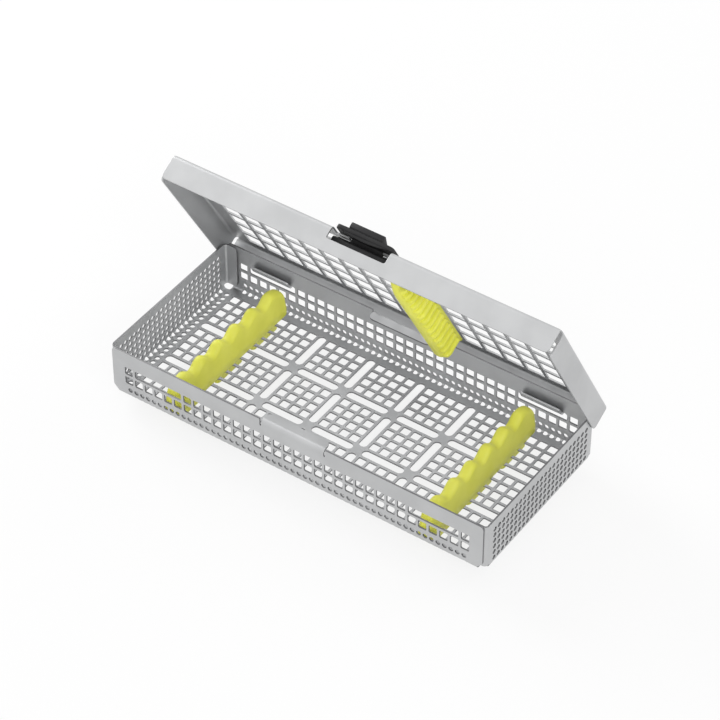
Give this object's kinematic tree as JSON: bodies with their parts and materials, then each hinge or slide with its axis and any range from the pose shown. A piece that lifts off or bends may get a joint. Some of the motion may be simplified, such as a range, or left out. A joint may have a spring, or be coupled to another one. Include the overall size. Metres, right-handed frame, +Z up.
{
  "type": "dental instrument cassette",
  "caption": "Perforated steel cassette with hinged lid, sliding latch and soft rails that hold slender hand instruments in a row, shown open.",
  "frame": {"origin": "Centre of the underside of the tray's perforated floor.", "axes": "+X along the tray's length to the right, +Y to the hinged side, +Z up. The lid stands open, as in the picture."},
  "size_m": [0.2024, 0.0963, 0.1077],
  "materials": {
    "steel": "satin electropolished stainless sheet",
    "silicone": "soft lime-yellow silicone, satin",
    "latch_black": "black moulded plastic, fine satin"
  },
  "bodies": {
    "tray": {"tray_floor": "steel", "tray_front_wall": "steel", "tray_back_wall": "steel", "tray_left_wall": "steel", "tray_right_wall": "steel", "left_corner_tabs": "steel", "right_corner_tabs": "steel", "keeper_tongue": "steel", "rear_tongue": "steel", "left_support_bar": "silicone", "right_support_bar": "silicone"},
    "lid": {"lid_panel": "steel", "lid_front_flange": "steel", "lid_back_flange": "steel", "lid_left_flange": "steel", "lid_right_flange": "steel", "hinge_tabs": "steel", "hold_down_pad": "silicone"},
    "latch": {"latch_slider": "latch_black"}
  },
  "joints": [
    {"name": "lid_hinge", "type": "hinge", "parent": "tray", "child": "lid", "pos_m": [0, 0.0442, 0.0173], "axis": [1, 0, 0], "range_deg": [-4, 60.9]},
    {"name": "latch_slide", "type": "slide", "parent": "lid", "child": "latch", "axis": [0, 0.4863, -0.8738], "range_m": [0, 0.0038], "stiffness_N_per_m": 400, "springref_m": -0.004}
  ]
}
